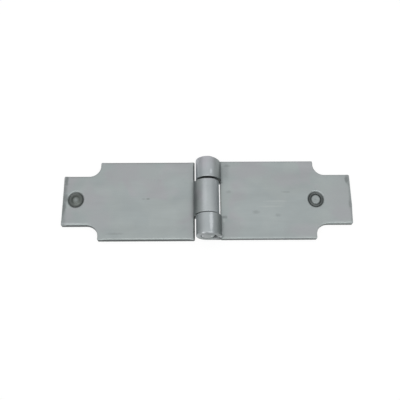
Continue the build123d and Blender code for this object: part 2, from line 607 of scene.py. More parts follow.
def lines_across(west, mark_reach, mark_across):
    """Where the grid's lines meet the short edges, as fractions of them.

    A fine ruler of fractions is walked along in steps of the spacing wanted at each of its
    marks, which is finer across the pressed mark and finest at the corners.
    """
    half_row = half_width if mark_reach - mark_outer < shoulder_reach else half_neck
    mark_half = mark_outer * mark_tall + abs(mark_across) + MARK_MARGIN_ACROSS
    corner = CORNER_SHARE * corner_round * math.pi / 4 / run_length(west[:, :2])[-1]
    ruler = np.linspace(0, 1, RULER_MARKS)
    across_mark = np.abs(ruler - 0.5) < mark_half / (2 * half_neck)
    space = np.where(across_mark, FINE / (2 * half_row), COARSE / leaf_width)
    space = np.where(np.minimum(ruler, 1 - ruler) < corner, CORNER_SPACING / leaf_width, space)
    count = np.concatenate([[0], np.cumsum(np.diff(ruler) / space[1:])])
    return np.interp(np.linspace(0, count[-1], int(round(count[-1])) + 1), count, ruler)


print("grid lines are", round(CORNER_SPACING / MM, 2), "to", round(COARSE / MM, 2), "mm apart")

# %% [markdown]
# ## The faces and the edge of a leaf
# Two flat faces and an edge make the plate. Each face is a grid whose rows bend round the
# notches. A face with many corners would be less work, but it can't hold the ring's relief and
# would shade badly. The edge is one more grid: round the leaf in one direction and down the
# sheet's thickness in the other.

# %% The faces and the edge of a leaf
def drawn_in(edges, u, v, share, distance):
    """The four edges at the grid's lines, moved in by a share of the roll-over and a distance."""
    return [inset(path, at, share, distance) for path, at in zip(edges, (u, v, u, v))]


def plate_faces(edges, u, v, mark):
    """The top face, inside the roll-over and with the mark in it, and then the underside."""
    mark_reach, mark_across, boss_radius, boss_drop = mark
    faces = []
    for share, distance, height in ((1.0, 0.0, sheet), (0.0, bottom_break, 0.0)):
        plan = stretched(*drawn_in(edges, u, v, share, distance), u, v)
        level = np.full(plan.shape[:2], height)
        if height > 0:
            away = np.hypot(plan[..., 0] - mark_reach, (plan[..., 1] - mark_across) / mark_tall)
            level = level - mark_sunk(away, boss_radius, boss_drop)
        faces.append(np.concatenate([plan, level[..., None]], -1))
    return faces


def cut_edge(edges, u, v, steepness, seed):
    """The edge all round, from the top face down, and how far each point counts as sheared.

    Each point lies on the line between the outline and the roll-over's inner side, lowered by
    the profile. In the torn band it is also moved inwards by the waves, which fade towards the
    foot of the edge and at the place where the loop starts and ends.
    """
    loops = []
    for share, distance in ((0.0, 0.0), (1.0, 0.0), (0.0, MM)):
        s, e, n, w = drawn_in(edges, u, v, share, distance)
        loops.append(np.concatenate([s[:-1], e[:-1], n[::-1][:-1], w[::-1]]))
    loop, rolled, inner = loops
    inward = (inner - loop) / MM
    along = run_length(loop)
    fall = steepness * np.linalg.norm(rolled - loop, axis=1)
    rows, heights = [], []
    for share, distance, place in edge_profile():
        height = sheet - fall + np.where(place > 0, fall, sheet - fall) * place
        height = height if place > -1 else height * 0
        tearing = np.clip((torn_height - height) / TEARS_GROW_OVER, 0, 1)
        tearing = tearing * np.clip((height - FOOT) / FOOT_FADES_OVER, 0, 1)
        eaten = torn_depth * tearing * torn(along, height, seed)
        eaten = eaten * np.clip(np.minimum(along, along[-1] - along) / ENDS_FADE_OVER, 0, 1)
        plan = loop + (rolled - loop) * share + inward * (distance + eaten)[:, None]
        rows.append(np.concatenate([plan, height[:, None]], -1))
        heights.append(height)
    sheared = np.clip((sheet - ROLLED_DOWN - np.stack(heights)) / SHEARED_OVER, 0, 1)
    return np.stack(rows), sheared


print("the edge is torn up to", round(torn_height / MM, 1), "mm of its", round(sheet / MM, 1), "mm")

# %% [markdown]
# ## Both flats
# The two faces and the edge meet in the same points, and merging those closes the surface. The
# right leaf was cut a little out of square. A cage could bend it, but moving its points by how
# far forward and how far out they lie is exact. The left leaf is the same thing on the other
# side, so its points are mirrored and its faces turned round.

# %% Build the flats
SQUARE_FROM = -4 * MM
DRAWN_IN_OVER = 10 * MM


def off_square(grid, shortfall):
    """The points with the near outer corners drawn towards the pin by the shortfall.

    It grows from nothing a little in front of the middle to full, and fades towards the pin.
    """
    forward = np.clip((SQUARE_FROM - grid[..., 1]) / DRAWN_IN_OVER, 0, 1)
    outward = np.clip(grid[..., 0] / shoulder_reach, 0, 1)
    moved = grid.copy()
    moved[..., 0] -= shortfall * forward * outward
    return moved


def leaf_flat(name, side, start, middle, mark, roll_over, shortfall, seed):
    """The plate of a leaf as one closed surface: two stretched faces and the cut edge.

    The mark is its reach from the pin, its place across the leaf, the radius of its boss and
    how far that is sunk. The roll-over is its width, its width beside the barrel, and how deep
    it is for its width.
    """
    roll_width, roll_at_slit, steepness = roll_over
    edges = leaf_edges(start, roll_width, roll_at_slit)
    mark_reach, mark_across = mark[:2]
    u = lines_along(edges[2], mark_reach)
    v = lines_across(edges[3], mark_reach, mark_across)
    top, underside = plate_faces(edges, u, v, mark)
    edge, sheared = cut_edge(edges, u, v, steepness, seed)
    grids = []
    for grid, turned, cut in ((top, False, 0.0), (underside, True, 0.0), (edge, False, sheared)):
        grid = off_square(grid, shortfall) * (side, 1, 1) + (0, middle, 0)
        grids.append((grid, turned if side > 0 else not turned, cut))
    return piece_from_grids(name, grids)


right_mark = (65.9 * MM, -0.16 * MM, 2.5 * MM, 0.2 * MM)
left_mark = (79.7 * MM, 0.7 * MM, 1.9 * MM, 0.5 * MM)
right_flat = leaf_flat(
    "right_flat", 1, inner_edge, right_middle, right_mark, (1.1 * MM, 0.25 * MM, 0.28), 0.5 * MM, 3)
left_flat = leaf_flat(
    "left_flat", -1, inner_edge - 0.15 * MM, left_middle, left_mark, (1.6 * MM, 0.9 * MM, 0.33), 0, 8)

# %% [markdown]
# ## The rolled knuckles
# Each knuckle is a tab of the same sheet. It runs on flat under the pin, curls up on the side
# away from its own leaf and over the top, and its lip stops at about the height of the pin. It
# could be a tube, but then the open lip would be lost. It is the tab's section, carried along
# that bent path, and then joined to the flat by a Boolean union, as it is one strip of steel.

# %% The path and section of a knuckle
open_radius = 5.4 * MM
open_outer = open_radius + sheet
open_height = axis_height + pin_radius - open_radius
open_turn = 101.0
lip_slant = math.radians(15)
lip_round = 0.4 * MM
seam_rim = 0.5 * MM
end_rim = 0.55 * MM
near_rim = 0.4 * MM
far_shy = 1.3 * MM
near_knuckle_length = 13.0 * MM
far_knuckle_length = 13.6 * MM
near_seam = 0.25 * MM
far_seam = 0.95 * MM
far_worn = 0.3 * MM
bore_break = 0.35 * MM
seam_bore_break = 0.1 * MM
running_clearance = 0.06 * MM
INSIDE = 0.002 * MM


def rolled_path():
    """Stations of the bent tab: the centre it bends round (x and z), the radius of its outer
    face, the angle round that centre, how far it has turned, and the lag of its inner face.

    The first stations run flat towards the pin, and the next go round it to the top. The last
    quarter has a wider radius and stands off the pin. Its inner face lags more and more, so
    that the lip ends on a slant.
    """
    flat_x = np.linspace(inner_edge + tail_overlap, 0, 12)[:-1]
    closed = np.radians(np.linspace(270, 90, 90))
    last = math.radians(90 - open_turn) + lip_round / open_outer
    opened = np.linspace(math.radians(90), last, 46)[1:]
    angle = np.concatenate([flat_x * 0 + closed[0], closed, opened])
    turned = closed[0] - angle
    wide = np.concatenate([flat_x * 0, closed * 0, opened * 0 + 1])
    centre_x = np.concatenate([flat_x, closed * 0, opened * 0])
    centre_z = axis_height + wide * (open_height - axis_height)
    radius = roll_radius + wide * (open_outer - roll_radius)
    radius[:len(flat_x)] -= INSIDE
    lag = lip_slant * np.clip((turned - math.pi) / math.radians(open_turn), 0, 1) ** 2
    return centre_x, centre_z, radius, angle, turned, lag


def section_loop(low, high, low_rim, high_rim, low_bore, high_bore):
    """Loop round the tab's section: place along the pin, how deep, and whether from the inside.

    Outer corners are rounded. Inner corners are broken by a small slope, which shows as the
    thin dark ring round the end of the pin.
    """
    turn = np.radians(np.linspace(0, 90, 6))
    across = np.linspace(low + low_rim, high - high_rim, 40)
    outer = np.stack([across, across * 0, across * 0], -1)
    ahead, under = 1 - np.sin(turn), 1 - np.cos(turn)
    high_corner = np.stack([high - high_rim * ahead, high_rim * under, turn * 0], -1)
    low_corner = np.stack([low + low_rim * ahead, low_rim * under, turn * 0], -1)
    inner = np.array([
        (high, -high_bore, 1), (high - high_bore, 0, 1),
        (low + low_bore, 0, 1), (low, -low_bore, 1),
    ])
    return np.concatenate([outer, high_corner[1:], inner, low_corner[::-1][:-1], outer[:1]])


print("the lip ends", round(open_turn), "degrees past the top of the roll")
print("the path of a tab has", len(rolled_path()[0]), "stations")

# %% [markdown]
# ## One knuckle
# The section is set up square to the path at each station, which gives a grid of points: round
# the section in one direction and along the strip in the other. The press left faint flats on
# the roll, and they break up its long reflections. The lip's edge is rounded over.

# %% Build a knuckle
BROAD_FLATS = 0.018 * MM
NARROW_FLATS = 0.012 * MM
DRAWS_BACK_FROM = math.radians(192)
DRAWS_BACK_OVER = math.radians(60)


def ring_at(along, down, centre_x, centre_z, radius, angle, lag):
    """Points of one section: each lies down from the outer face, towards the bend's centre."""
    there = angle + lag * down / sheet
    reach = radius - down
    return np.stack([centre_x + reach * np.cos(there), along, centre_z + reach * np.sin(there)], -1)


def pressed_flats(turned, seed):
    """How far the press flattened the roll: two slow waves of how far the strip has turned."""
    start, lean = np.random.default_rng(seed).uniform(0, 2 * math.pi, 2)
    broad = BROAD_FLATS * (1 + np.sin(turned * 7 + start))
    narrow = NARROW_FLATS * (1 + np.sin(turned * 13 + lean))
    return (broad + narrow) * np.clip(turned / 0.5, 0, 1)


def closed_ends(grid):
    """The grid with its first and last ring filled by rings that shrink to their middle."""
    ends = []
    for ring in (grid[0], grid[-1]):
        centre = (ring.min(0) + ring.max(0)) / 2
        ends.append(np.stack([centre + (ring - centre) * f for f in (0.0, 0.35, 0.7)]))
    return np.concatenate([ends[0], grid, ends[1][::-1]])


def knuckle(name, side, low, high, rims, bores, clearance, shy, seed):
    """A tab as one closed surface: its section carried along the rolled path, ends filled in.

    The far end draws back by the shy distance from the top of the roll to the lip. The lip is
    rounded by steps that go ahead by the sine of a turn while both faces draw in by one less
    its cosine.
    """
    centre_x, centre_z, radius, angle, turned, lag = rolled_path()
    along, depth, inside = section_loop(low, high, *rims, *bores).T
    flats = pressed_flats(turned, seed)
    thick = sheet - 2 * INSIDE - clearance * np.clip(turned / 0.35, 0, 1)
    short = shy * np.clip((turned - DRAWS_BACK_FROM) / DRAWS_BACK_OVER, 0, 1)

    rings = []
    for k in range(len(angle)):
        down = depth + np.where(inside > 0, thick[k], flats[k])
        drawn = along - short[k] * (along - low) / (high - low)
        rings.append(ring_at(drawn, down, centre_x[k], centre_z[k], radius[k], angle[k], lag[k]))
    middle = (low + high) / 2
    for turn in np.radians(np.linspace(0, 90, 7)[1:]):
        shrink = lip_round * (1 - math.cos(turn))
        ahead = angle[-1] - lip_round * math.sin(turn) / radius[-1]
        down = np.clip(depth + np.where(inside > 0, thick[-1], flats[-1]), shrink, sheet - shrink)
        squeezed = middle + (drawn - middle) * (1 - shrink / (high - low))
        rings.append(ring_at(squeezed, down, centre_x[-1], centre_z[-1], radius[-1], ahead, lag[-1]))

    grid = closed_ends(np.stack(rings)) * (side, 1, 1)
    return piece_from_grids(name, [(grid, side < 0, 0.0)])


near_end, far_end = pin_low.y, pin_high.y
near_inner = near_end + near_knuckle_length
far_inner = far_end - far_knuckle_length
near_tab = knuckle(
    "near_tab", 1, near_end, near_inner, (near_rim, seam_rim), (bore_break, seam_bore_break), 0, 0, 21)
far_tab = knuckle(
    "far_tab", 1, far_inner + far_worn, far_end, (seam_rim, end_rim), (seam_bore_break, bore_break),
    0, far_shy, 22)
middle_tab = knuckle(
    "middle_tab", -1, near_inner + near_seam, far_inner - far_seam, (seam_rim, seam_rim),
    (seam_bore_break, seam_bore_break), running_clearance, 0, 23)

# %% [markdown]
# ## One strip of steel
# The plate and its rolled tabs are one piece on the real hinge, so no seam may show where they
# meet. Joining the objects alone would leave their inner walls in place. A Boolean union takes
# those out, and its result is kept as a plain mesh.

# %% Join the tabs to the flats
def united(name, flat, tabs):
    """The flat and its tabs as one closed mesh, by Boolean unions that are applied at once."""
    for tab in tabs:
        union = flat.modifiers.new("union", "BOOLEAN")
        union.operation = "UNION"
        union.solver = "EXACT"
        union.object = tab
    bpy.context.view_layer.update()
    joined = flat.evaluated_get(bpy.context.evaluated_depsgraph_get())
    whole = bpy.data.meshes.new_from_object(joined)
    whole.name = name
    for used in [flat, *tabs]:
        old = used.data
        bpy.data.objects.remove(used)
        bpy.data.meshes.remove(old)
    whole.polygons.foreach_set("use_smooth", np.ones(len(whole.polygons), bool))
    whole.set_sharp_from_angle(angle=math.radians(40))
    obj = bpy.data.objects.new(name, whole)
    SCENE.collection.objects.link(obj)
    print(name, soundness(whole))
    return obj


right_leaf = united("right_leaf_steel", right_flat, [near_tab, far_tab])
left_leaf = united("left_leaf_steel", left_flat, [middle_tab])

# %% [markdown]
# ## The pin
# The pin is turned bar, cut off and lightly chamfered. It could be a cylinder, but its two cut
# ends show, so it is a profile of radius against place along the pin, turned once round Y. The
# ends are slightly domed from being pressed flush.

# %% Build the pin
pin_chamfer = 0.5 * MM
pin_dome = 0.12 * MM


def turned_pin(name):
    """A closed surface: each point of the profile is swept round the axis at its own radius."""
    face_radius = pin_radius - pin_chamfer
    radius = np.linspace(0, face_radius, 14)
    dome = pin_dome * (radius / face_radius) ** 2
    near = np.stack([near_end + dome, radius], -1)
    body = np.linspace(near_end + pin_dome + pin_chamfer, far_end - pin_dome - pin_chamfer, 30)
    middle = np.stack([body, body * 0 + pin_radius], -1)
    far = np.stack([far_end - dome, radius], -1)[::-1]
    profile = np.concatenate([near, middle, far])
    angle = np.linspace(0, 2 * math.pi, 97)
    grid = np.stack([
        profile[:, 1, None] * np.cos(angle),
        np.broadcast_to(profile[:, 0, None], (len(profile), len(angle))),
        axis_height + profile[:, 1, None] * np.sin(angle),
    ], -1)
    cut = np.where(profile[:, 1, None] < pin_radius, 1.0, 0.0)
    obj = piece_from_grids(name, [(grid, False, cut)])
    obj.data.polygons.foreach_set("use_smooth", np.ones(len(obj.data.polygons), bool))
    obj.data.set_sharp_from_angle(angle=math.radians(30))
    return obj


pin = turned_pin("pin_steel_bar")

# %% [markdown]
# ## Finishes shared by the pieces
# Rolled sheet is never one grey. It has cloudy tints from the mill, a fine grain along the
# rolling direction, and smears from handling. Each of these is a node group with named sockets,
# built once and used by several materials. A picture could be painted instead, but a pattern
# worked out from the place on the piece stays sharp from any distance and turns with the piece.

# %% Small tools for node groups
def new_group(name, inputs, outputs):
    """An empty node group with its sockets: (name, kind, default) in, and (name, kind) out."""
    group = bpy.data.node_groups.new(name, "ShaderNodeTree")
    for label, kind, default in inputs:
        socket = group.interface.new_socket(label, in_out="INPUT", socket_type="NodeSocket" + kind)
        if default is not None:
            socket.default_value = default
    for label, kind in outputs:
        group.interface.new_socket(label, in_out="OUTPUT", socket_type="NodeSocket" + kind)
    return group, group.nodes.new("NodeGroupInput"), group.nodes.new("NodeGroupOutput")


def vector_maths(tree, operation, *values):
    """One Vector Math node, and the output that holds its result."""
    node = filled(tree, "ShaderNodeVectorMath", *values).node
    node.operation = operation
    return node.outputs["Value" if operation in ("LENGTH", "DISTANCE") else "Vector"]


def parts_of(tree, vector):
    """The X, Y and Z of a vector."""
    return filled(tree, "ShaderNodeSeparateXYZ", vector).node.outputs


def product(tree, first, *others):
    """The first value times each of the others."""
    for other in others:
        first = maths(tree, "MULTIPLY", first, other)
    return first


def ramp(tree, value, low, high, to_low=0.0, to_high=1.0):
    """A smooth step in the value: to_low up to low, and to_high from high on.

    With high below low it is the same step the other way round.
    """
    result = filled(tree, "ShaderNodeMapRange", value, low, high, to_low, to_high)
    result.node.interpolation_type = "SMOOTHSTEP"
    return result


def noise(tree, place, scale, detail=2.0, distortion=0.0):
    """Smooth noise from zero to one. The scale is in waves per unit of place."""
    node = tree.nodes.new("ShaderNodeTexNoise")
    feed(tree, node.inputs["Vector"], place)
    node.inputs["Scale"].default_value = scale
    node.inputs["Detail"].default_value = detail
    node.inputs["Distortion"].default_value = distortion
    return node.outputs["Fac"]


def mixed(tree, amount, first, second, blend="MIX"):
    """Two colours mixed by an amount."""
    node = tree.nodes.new("ShaderNodeMix")
    node.data_type = "RGBA"
    node.blend_type = blend
    feed(tree, node.inputs[0], amount)
    feed(tree, node.inputs[6], first)
    feed(tree, node.inputs[7], second)
    return node.outputs[2]


print("tools for groups, steps, noise and mixes are ready")

# %% [markdown]
# ## Clouds, bands and grain
# Sheet leaves the rolls with slow tints, with bands along the rolling direction, and with a fine
# grain the same way. Noise is drawn out along a direction where the place that it is given is
# squeezed, so one kind of noise makes all three. Separate wave and dot patterns would look too
# even.

# %% Group: clouds, bands and grain of rolled sheet
CLOUD_WAVES = 0.055
WARM_WAVES = 0.06
BROAD_WAVES = 0.045
PIT_WAVES = 2.6
BAND_STRETCH = (0.03, 0.13, 0.13)
GRAIN_STRETCH = (0.10, 2.4, 2.4)
BAND_SWING = 0.20
GRAIN_SWING = 0.10
BROAD_SWING = 0.16


def swung(tree, tone, mask, swing):
    """The tone plus the swing times the mask, less half the swing, so that its middle stays."""
    return maths(tree, "MULTIPLY_ADD", mask, swing, maths(tree, "SUBTRACT", tone, swing / 2))


def rolled_sheet_group():
    """Cloud tints and bands as a colour, the grain as a mask, and all of it as a height.

    Two slow noises choose between three greys, and the warm one is more common on the far side.
    The bands are noise drawn out along the leaf, and the grain is the same, but squeezed to long
    thin streaks. Bands, grain and one more slow noise each swing the tone round one.
    """
    group, given, result = new_group(
        "rolled_sheet",
        [("Place", "Vector", None), ("Warm", "Color", (0.5, 0.5, 0.5, 1)),
         ("Cool", "Color", (0.5, 0.5, 0.5, 1)), ("Plain", "Color", (0.5, 0.5, 0.5, 1))],
        [("Color", "Color"), ("Grain", "Float"), ("Height", "Float")],
    )
    place = given.outputs["Place"]
    slow = noise(group, place, CLOUD_WAVES, 2.0, 0.4)
    moved = vector_maths(group, "ADD", place, (37.0, 11.0, 5.0))
    other = noise(group, moved, WARM_WAVES, 2.0, 0.6)
    far_side = maths(group, "MULTIPLY_ADD", parts_of(group, place)["Y"], 0.006, other)
    colour = mixed(group, ramp(group, slow, 0.40, 0.62), given.outputs["Plain"], given.outputs["Cool"])
    colour = mixed(group, ramp(group, far_side, 0.50, 0.72), colour, given.outputs["Warm"])
    bands = noise(group, vector_maths(group, "MULTIPLY", place, BAND_STRETCH), 1.0, 3.0, 0.3)
    grain = noise(group, vector_maths(group, "MULTIPLY", place, GRAIN_STRETCH), 1.0, 4.0)
    elsewhere = vector_maths(group, "ADD", place, (5.0, 80.0, 0.0))
    broad = noise(group, elsewhere, BROAD_WAVES, 2.0, 0.5)
    tone = swung(group, 1.0, bands, BAND_SWING)
    tone = swung(group, tone, grain, GRAIN_SWING)
    tone = swung(group, tone, broad, BROAD_SWING)
    scaled = group.nodes.new("ShaderNodeVectorMath")
    scaled.operation = "SCALE"
    group.links.new(colour, scaled.inputs["Vector"])
    group.links.new(tone, scaled.inputs["Scale"])
    pits = noise(group, place, PIT_WAVES, 4.0)
    height = maths(group, "MULTIPLY_ADD", grain, 0.6, maths(group, "MULTIPLY", pits, 0.4))
    group.links.new(scaled.outputs["Vector"], result.inputs["Color"])
    group.links.new(grain, result.inputs["Grain"])
    group.links.new(height, result.inputs["Height"])
    return group


rolled_sheet = rolled_sheet_group()
print(rolled_sheet.name, "has", len(rolled_sheet.nodes), "nodes")

# %% [markdown]
# ## One soft patch
# Handling leaves smears, specks and rubbed streaks, all with soft and ragged borders, and painted
# highlights and painted shade are laid on in the same way. Each is an oval mask whose border is pushed
# about by noise, so one small group serves for all of them. They could be painted by hand, but a mask
# can be moved and sized with numbers.

# %% Group: one soft patch for smears, specks, painted highlights and painted shade
def soft_patch_group():
    """A mask that is one inside a ragged oval and fades to zero outside it.

    The offset from the centre is divided by the half sizes, and its length is one on the
    oval. Noise times the raggedness is added to that length before it is ramped down.
    """
    group, given, result = new_group(
        "soft_patch",
        [("Place", "Vector", None), ("Centre", "Vector", (0, 0, 0)), ("Size", "Vector", (1, 1, 1)),
         ("Ragged", "Float", 0.5)],
        [("Mask", "Float")],
    )
    place = given.outputs["Place"]
    offset = vector_maths(group, "SUBTRACT", place, given.outputs["Centre"])
    oval = vector_maths(group, "LENGTH", vector_maths(group, "DIVIDE", offset, given.outputs["Size"]))
    wander = maths(group, "MULTIPLY_ADD", noise(group, place, 0.8, 3.0), 2.0, -1.0)
    reach = maths(group, "MULTIPLY_ADD", wander, given.outputs["Ragged"], oval)
    group.links.new(ramp(group, reach, 0.35, 1.15, 1.0, 0.0), result.inputs["Mask"])
    return group


soft_patch = soft_patch_group()
print(soft_patch.name, "has", len(soft_patch.nodes), "nodes")

# %% [markdown]
# ## Scale in a pressed ring
# The sunk rings are the darkest part of the leaves. Their mask could be stored on the mesh, as
# for the cut edges. It is worked out from the distance to the middle of the mark instead, like
# the ring's relief, so that noise can make its border ragged.

# %% Group: dark scale left in a pressed ring
FLOOR_RADIUS = 3.7


def ring_scale_group():
    """Masks for the ring of a mark, its boss and its floor, by the distance from its middle.

    The ring's mask rises between Start and End and falls at Outer, and the boss has what is left
    inside that rise. The floor's mask is one near the middle of the ring's width.
    """
    group, given, result = new_group(
        "ring_scale",
        [("Place", "Vector", None), ("Centre", "Vector", (0, 0, 0)), ("Start", "Float", 2.0),
         ("End", "Float", 2.9), ("Outer", "Float", 5.0)],
        [("Ring", "Float"), ("Boss", "Float"), ("Floor", "Float")],
    )
    place, outer = given.outputs["Place"], given.outputs["Outer"]
    offset = vector_maths(group, "SUBTRACT", place, given.outputs["Centre"])
    squeezed = vector_maths(group, "MULTIPLY", offset, (1, 1 / mark_tall, 0))
    away = vector_maths(group, "LENGTH", squeezed)
    ragged = maths(group, "MULTIPLY_ADD", noise(group, place, 1.3, 3.0), 0.5, -0.25)
    away = maths(group, "ADD", away, ragged)
    past_boss = ramp(group, away, given.outputs["Start"], given.outputs["End"])
    from_floor = maths(group, "ABSOLUTE", maths(group, "SUBTRACT", away, FLOOR_RADIUS))
    floor = ramp(group, from_floor, 0.3, 1.1, 1.0, 0.0)
    wall_foot = maths(group, "SUBTRACT", outer, 0.9)
    inside = ramp(group, away, wall_foot, maths(group, "ADD", outer, 0.1), 1.0, 0.0)
    group.links.new(maths(group, "MULTIPLY", past_boss, inside), result.inputs["Ring"])
    group.links.new(floor, result.inputs["Floor"])
    group.links.new(maths(group, "SUBTRACT", 1.0, past_boss, clamp=True), result.inputs["Boss"])
    return group


ring_scale = ring_scale_group()
print(ring_scale.name, "has", len(ring_scale.nodes), "nodes")

# %% [markdown]
# ## Bare steel
# Every piece is plain steel, so one Principled shader fits all, with Metallic at one. Its
# colours say how much of a white world the metal mirrors, and masks choose between them. A
# separate shader for dirt would be truer, but a thin coat of dirt is dark grey as well.

# %% Colours and the start of a steel material
PLAIN = (0.293, 0.320, 0.318, 1)
COOL = (0.279, 0.307, 0.308, 1)
WARM = (0.294, 0.303, 0.312, 1)
# Painted sheen: the roll is painted brighter than the flat, most of all on its outside.
BEND_SHEEN = (1.14, 1.12, 1.15, 1)
OUTSIDE_SHEEN = (1.38, 1.36, 1.40, 1)
PIN_STEEL = (0.33, 0.348, 0.357, 1)
# Painted shade: the pin's side, seen only in the gaps between the knuckles, is painted nearly black.
PIN_SIDE_SHADE = (0.02, 0.022, 0.022, 1)
# Painted shade in the crease beside the barrel.
CREASE_SHADE = (0.14, 0.155, 0.153, 1)
# Torn steel, darkened further as painted shade on the cut walls.
CUT_STEEL_AND_SHADE = (0.105, 0.113, 0.113, 1)
SCALE = (0.105, 0.118, 0.115, 1)
OLIVE_SCALE = (0.099, 0.109, 0.101, 1)
# Dirt on the rings' floors and a darker collar round the pin, and painted shade under the lips, in the
# far seam and beside the barrel.
DIRT_AND_SHADE = (0.06, 0.065, 0.065, 1)
# Smears, and painted shade on the roll's flanks and along the leaf's end.
SMEAR_AND_SHADE = (0.17, 0.185, 0.185, 1)
# Rubbed places on the plate and the end's rim, and painted highlights on the roll's flanks.
RUBBED_AND_HIGHLIGHT = (0.345, 0.372, 0.368, 1)
# Painted highlights on rims, edges, the roll and the pin's ends.
PAINTED_HIGHLIGHT = (0.62, 0.65, 0.67, 1)
NEAR_END = near_end / MM
LEAF_END = leaf_reach / MM
PER_MM = (1 / MM, 1 / MM, 1 / MM)


def use(tree, group, **values):
    """The outputs of a group placed in a material, with its inputs linked or set, by name."""
    node = tree.nodes.new("ShaderNodeGroup")
    node.node_tree = group
    for label, value in values.items():
        feed(tree, node.inputs[label], value)
    return node.outputs


def steel_material(name):
    """A new metal: the material, its tree, its shader's inputs, and the place in millimetres."""
    material = bpy.data.materials.new(name)
    material.use_nodes = True
    tree = material.node_tree
    inputs = tree.nodes["Principled BSDF"].inputs
    inputs["Metallic"].default_value = 1.0
    source = tree.nodes.new("ShaderNodeTexCoord")
    return material, tree, inputs, vector_maths(tree, "MULTIPLY", source.outputs["Object"], PER_MM)


def stored(tree, name):
    """A value stored on the points of the mesh."""
    node = tree.nodes.new("ShaderNodeAttribute")
    node.attribute_name = name
    return node.outputs["Fac"]


def laid_patches(tree, place, colour, patches):
    """The colour with soft patches laid over it: centre, half sizes, strength and paint each."""
    for centre, size, strength, paint in patches:
        mask = use(tree, soft_patch, Place=place, Centre=centre, Size=size)["Mask"]
        colour = mixed(tree, product(tree, mask, strength), colour, paint)
    return colour


print("the plain steel mirrors", PLAIN[0], PLAIN[1], PLAIN[2], "of the light")

# %% [markdown]
# ## Bends, creases and ends
# The roll is painted brighter than the flat, most of all on its outside past the pin, as painted sheen.
# Painted shade darkens the crease beside the barrel, the plate under the lip and a band along the
# leaf's end, and the end faces are darker close round the pin. The edges of a mesh could be found by a
# pointiness mask, but these places are known, so each mask is a product of soft steps in reach, height
# and place across the leaf.

# %% Masks for bends, creases and ends
CREASE_AMOUNT = 0.45
UNDER_LIP_AMOUNT = 0.35
COLLAR_AMOUNT = 0.3
END_BAND_AMOUNT = 0.75


def bend_painted_sheen(tree, colour, reach, height):
    """The colour times a tone of painted sheen, which is one on the flat and brightest on the bend's
    outside.

    The bend's mask grows with height from the top face up to the pin's middle, and fades towards
    the leaf's own side. The outside's mask is that one times how far past the pin it lies.
    """
    rise = ramp(tree, height, sheet / MM + 0.2, roll_radius / MM)
    bend = product(tree, rise, ramp(tree, reach, 6.5, 1.5))
    outside = product(tree, bend, ramp(tree, reach, -0.5, -6.0))
    tone = mixed(tree, bend, (1, 1, 1, 1), BEND_SHEEN)
    tone = mixed(tree, outside, tone, OUTSIDE_SHEEN)
    return mixed(tree, 1.0, colour, tone, "MULTIPLY")


def crease_painted_shade(tree, colour, reach, across, height, lips):
    """The colour darkened by painted shade beside the leaf's own lips, and once more right under them.
    """
    crease = product(
        tree, ramp(tree, reach, 2.5, 7.5), ramp(tree, height, 12.5, 8.0),
        ramp(tree, reach, 10.6, 8.0), ramp(tree, across, *lips), CREASE_AMOUNT)
    under_lip = product(
        tree, ramp(tree, reach, 8.9, 8.1), ramp(tree, height, 6.0, 5.0),
        ramp(tree, height, 2.2, 2.9), ramp(tree, reach, 2.5, 4.5), UNDER_LIP_AMOUNT)
    return mixed(tree, under_lip, mixed(tree, crease, colour, CREASE_SHADE), DIRT_AND_SHADE)


def collar_darker(tree, colour, place, across):
    """The colour darkened close round the pin, at the two end faces of the barrel."""
    sideways = vector_maths(tree, "MULTIPLY", place, (1, 0, 1))
    from_axis = vector_maths(tree, "DISTANCE", sideways, (0, 0, axis_height / MM))
    collar = product(
        tree, ramp(tree, from_axis, pin_radius / MM + 1.0, pin_radius / MM + 0.3),
        ramp(tree, across, -NEAR_END - 1.0, -NEAR_END - 0.3), COLLAR_AMOUNT)
    return mixed(tree, collar, colour, DIRT_AND_SHADE)


def end_band_painted_shade(tree, colour, place, reach, band_width):
    """The colour darkened by painted shade in a band along the leaf's end, by noise, but hardly at its
    rim.
    """
    uneven = noise(tree, vector_maths(tree, "MULTIPLY", place, (0.3, 0.25, 0.3)), 1.0, 2.0)
    band = product(
        tree, ramp(tree, reach, LEAF_END - band_width, LEAF_END - 1.1),
        ramp(tree, reach, LEAF_END - 0.5, LEAF_END - 1.0, 0.15, 1.0),
        ramp(tree, uneven, 0.25, 0.75, 0.25, 1.0), END_BAND_AMOUNT)
    return mixed(tree, band, colour, SMEAR_AND_SHADE)


print("the end bands reach to", round(LEAF_END, 1), "mm from the pin")

# %% [markdown]
# ## The marks and the cut edges
# The sunk rings are nearly black, and the cut edges are dull and torn and darkened further as painted
# shade. The mask of the cut edge is stored on the mesh's points. The union of plate and tabs gives the
# tabs' points no such value, so where the strip's cut side shows below the pin, its mask is made of
# soft steps.

# %% Masks for the marks and the cut edges
RING_AMOUNT = 0.9
FLOOR_AMOUNT = 0.45
WORN_RIM_AMOUNT = 0.8


def mark_darker(tree, colour, place, height, middle, scale_look, boss_amount):
    """The colour with scale on the ring and the boss, and with dirt on the ring's floor.

    Each mask is kept to the top face. The look of the scale is where its border with the boss
    starts and ends, and its paint.
    """
    start, end, paint = scale_look
    mark = use(
        tree, ring_scale, Place=place, Centre=middle, Start=start, End=end, Outer=mark_outer / MM)
    top_only = ramp(tree, height, 0.5, 1.2)
    for label, amount, coat in (
            ("Ring", RING_AMOUNT, paint), ("Boss", boss_amount, paint), ("Floor", FLOOR_AMOUNT, DIRT_AND_SHADE)):
        colour = mixed(tree, product(tree, mark[label], top_only, amount), colour, coat)
    return colour


def cut_mask(tree, reach, across, height):
    """One on a sheared face: the greater of the stored value and a mask for the strip's sides."""
    strip = product(
        tree, ramp(tree, across, -NEAR_END - 0.3, -NEAR_END - 0.1),
        ramp(tree, reach, 2.0, 8.0), ramp(tree, height, 2.9, 2.7))
    return maths(tree, "MAXIMUM", stored(tree, "cut"), strip)


